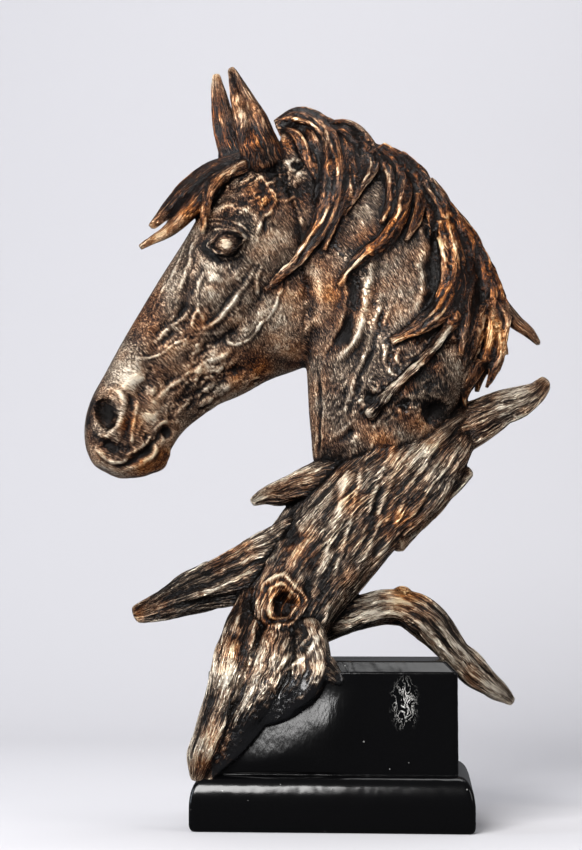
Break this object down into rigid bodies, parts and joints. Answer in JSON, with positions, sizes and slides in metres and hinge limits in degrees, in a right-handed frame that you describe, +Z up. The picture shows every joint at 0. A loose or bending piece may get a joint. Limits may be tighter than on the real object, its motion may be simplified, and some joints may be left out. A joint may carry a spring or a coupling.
{
  "type": "horse statue",
  "caption": "Horse head and neck statue growing out of driftwood with roots, aged bronze finish, on a gloss black moulded plinth",
  "frame": {"origin": "middle of the plinth's underside", "axes": "+Z up; the horse faces -X; -Y is the near side, which the head turns towards"},
  "size_m": [0.2582, 0.1128, 0.4231],
  "materials": {
    "aged_bronze": "near-black brown recesses with copper, gold and cream rubbed on the ridges, satin",
    "gloss_black": "gloss black lacquer with fine pale specks and one pale splash"
  },
  "bodies": {
    "root": {"horse_and_driftwood": "aged_bronze", "plinth": "gloss_black"}
  },
  "joints": []
}
